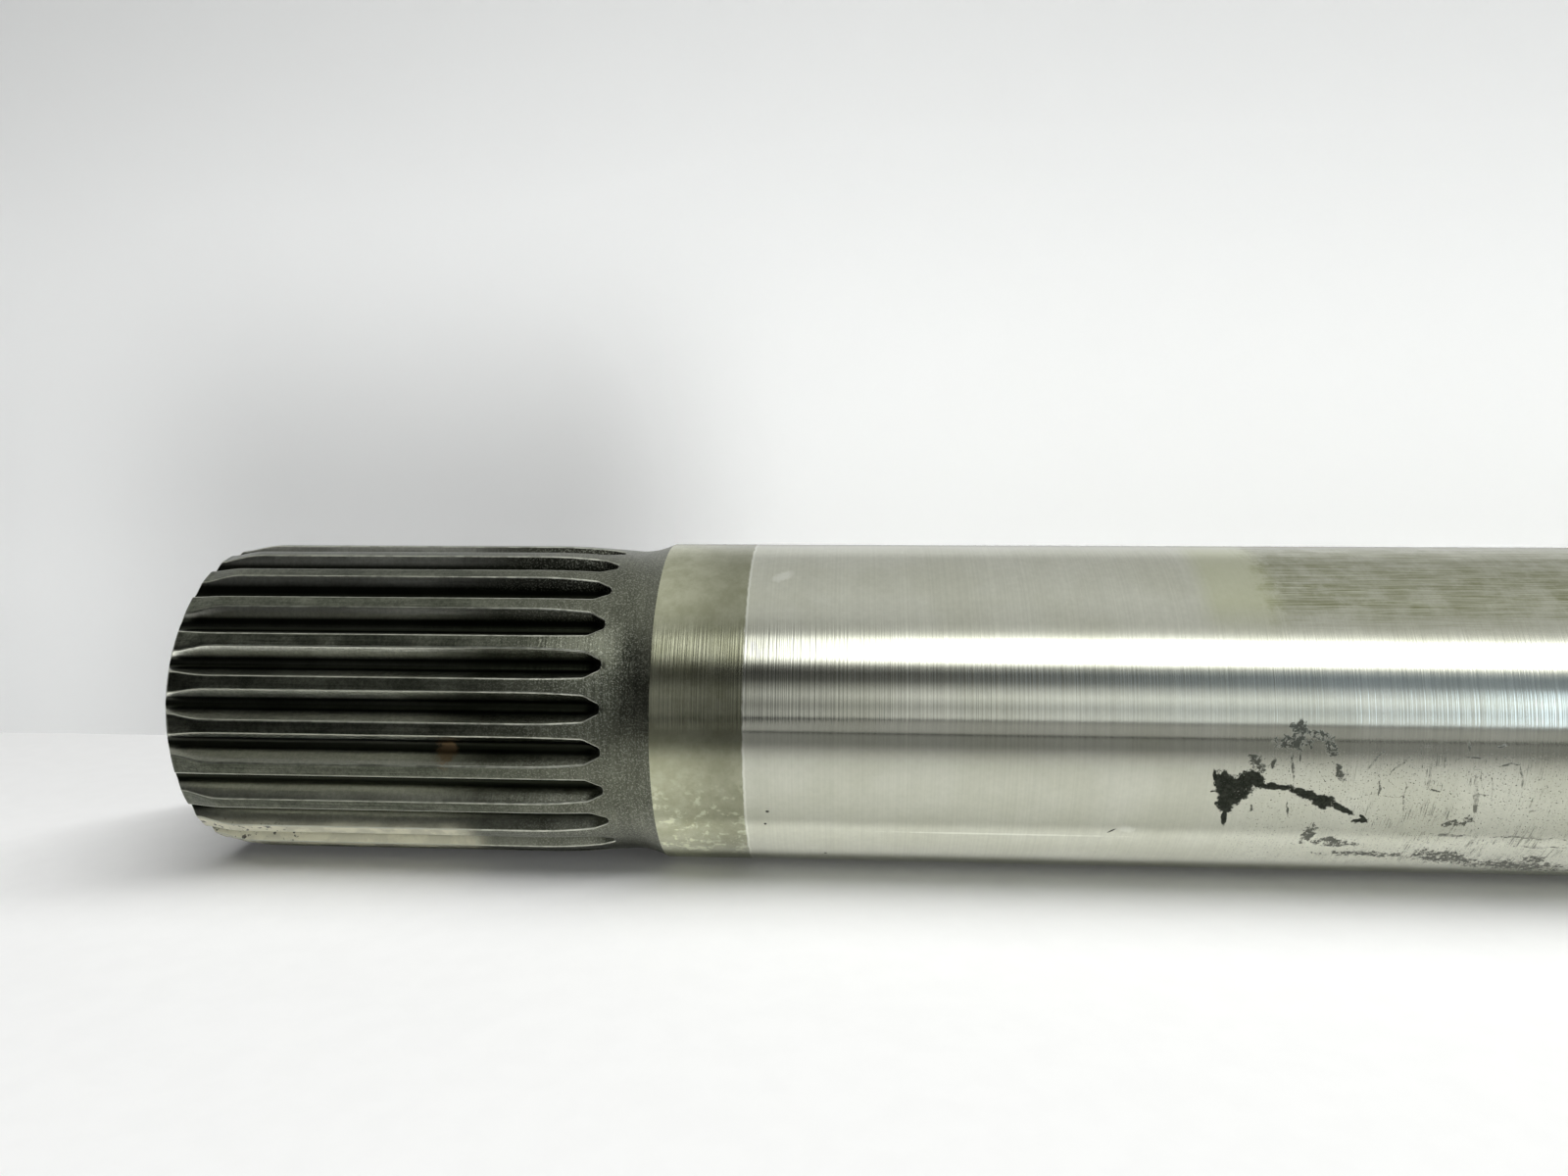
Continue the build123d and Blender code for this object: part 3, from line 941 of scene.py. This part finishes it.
# Brightness of the surroundings by the angle from straight up towards the front, in degrees.
# The lamp is the bright stretch, with a dark gap and grey bands below it.
surroundings = [(-180, 0.3), (-105, 0.3), (-82, 0.62), (-72, 0.86), (-58, 0.86), (-46, 0.66), (-20, 0.73),
                (0, 0.80), (14, 0.74), (23, 0.70),
                (28, 0.85), (32, 1.4), (36, 3.4), (48, 5.0), (51.5, 2.6), (54.5, 0.45), (59, 0.12),
                (65, 0.18), (70, 0.6), (75, 1.0), (82, 0.55), (89, 0.85), (95, 0.3), (180, 0.3)]
brightest = 5.0


def studio_world():
    """Soft studio surroundings with one long lamp in front, which fades out to the left."""
    world = bpy.data.worlds.new("studio")
    world.use_nodes = True
    recipe = Recipe(world.node_tree)
    away = recipe.add("ShaderNodeTexCoord").outputs["Generated"]
    across, side, height = recipe.add("ShaderNodeSeparateXYZ", {0: away}).outputs
    turn = around_angle(recipe, side, height)
    whole_turn = {"Value": turn, "From Min": -180.0, "From Max": 180.0}
    share = recipe.add("ShaderNodeMapRange", whole_turn).outputs[0]
    ramp = recipe.add("ShaderNodeValToRGB", {0: share})
    stops = ramp.color_ramp.elements
    stops[1].position = 1.0
    for degrees_from_top, _ in surroundings[1:-1]:
        stops.new((degrees_from_top + 180) / 360)
    for stop, (_, brightness) in zip(stops, surroundings):
        level = brightness / brightest
        stop.color = (level, level * 1.01, level, 1)
    # The front left is dark, and the lamp ends there. The front right is bright near the horizon.
    front = recipe.fade(turn, 8.0, 42.0)
    lamp_zone = recipe.window(turn, 28.0, 58.0, 6.0)
    lamp_left = recipe.fade(across, -0.32, -0.07, 0.02, 1.0)
    left = recipe.product(recipe.fade(across, -0.3, 0.1, 0.25, 1.0),
                          recipe.fade(across, -0.85, -0.3, 0.1, 1.0),
                          recipe.fade(lamp_zone, 0.0, 1.0, 1.0, lamp_left))
    level = recipe.product(recipe.fade(front, 0.0, 1.0, 1.0, left), brightest)
    haze = recipe.product(recipe.fade(across, 0.0, 0.45), recipe.window(turn, 54.0, 92.0, 5.0))
    patch = recipe.product(recipe.fade(across, 0.5, 0.62), recipe.window(turn, 67.0, 91.0, 6.0))
    glow = recipe.total(recipe.product(haze, 0.22), recipe.product(patch, 2.0))
    shine = recipe.scaled(ramp.outputs[0], level)
    cool = recipe.scaled((0.76, 0.98, 1.3), glow)
    both = recipe.add("ShaderNodeVectorMath", {0: shine, 1: cool}, operation="ADD")
    seen = recipe.add("ShaderNodeLightPath").outputs["Is Camera Ray"]
    colour = recipe.blend(seen, both.outputs[0], (0.83, 0.85, 0.84, 1))
    recipe.feed(world.node_tree.nodes["Background"].inputs["Color"], colour)
    return world


bpy.context.scene.world = studio_world()
bpy.context.scene.view_settings.view_transform = "Standard"

# The surroundings only show in the steel. The paper is lit by a wide soft box overhead and a weaker one
# in front.
bpy.context.scene.world.cycles_visibility.diffuse = False


box_aim = Vector((-0.05, 0, 0))


def soft_box(name, place_at, size, energy):
    """A wide lamp that looks at the front half of the shaft and that the steel doesn't mirror."""
    data = bpy.data.lights.new(name, "AREA")
    data.shape = "RECTANGLE"
    data.size, data.size_y = size
    data.energy = energy
    lamp = bpy.data.objects.new(name, data)
    lamp.location = place_at
    lamp.rotation_euler = (box_aim - Vector(place_at)).to_track_quat("-Z", "Y").to_euler()
    lamp.visible_glossy = False
    bpy.context.scene.collection.objects.link(lamp)


soft_box("overhead_box", (0.1, -0.155, 0.75), (1.3, 0.09), 9.0)
soft_box("front_box", (1.0, -0.9, 0.4), (1.0, 0.5), 4.0)

camera_data = bpy.data.cameras.new("camera")
camera_data.sensor_width = sensor_width
camera_data.lens = camera_lens
camera_data.clip_start = 0.005
camera = bpy.data.objects.new("camera", camera_data)
camera.location = camera_place
camera.rotation_euler = camera_angles
bpy.context.scene.collection.objects.link(camera)
bpy.context.scene.camera = camera
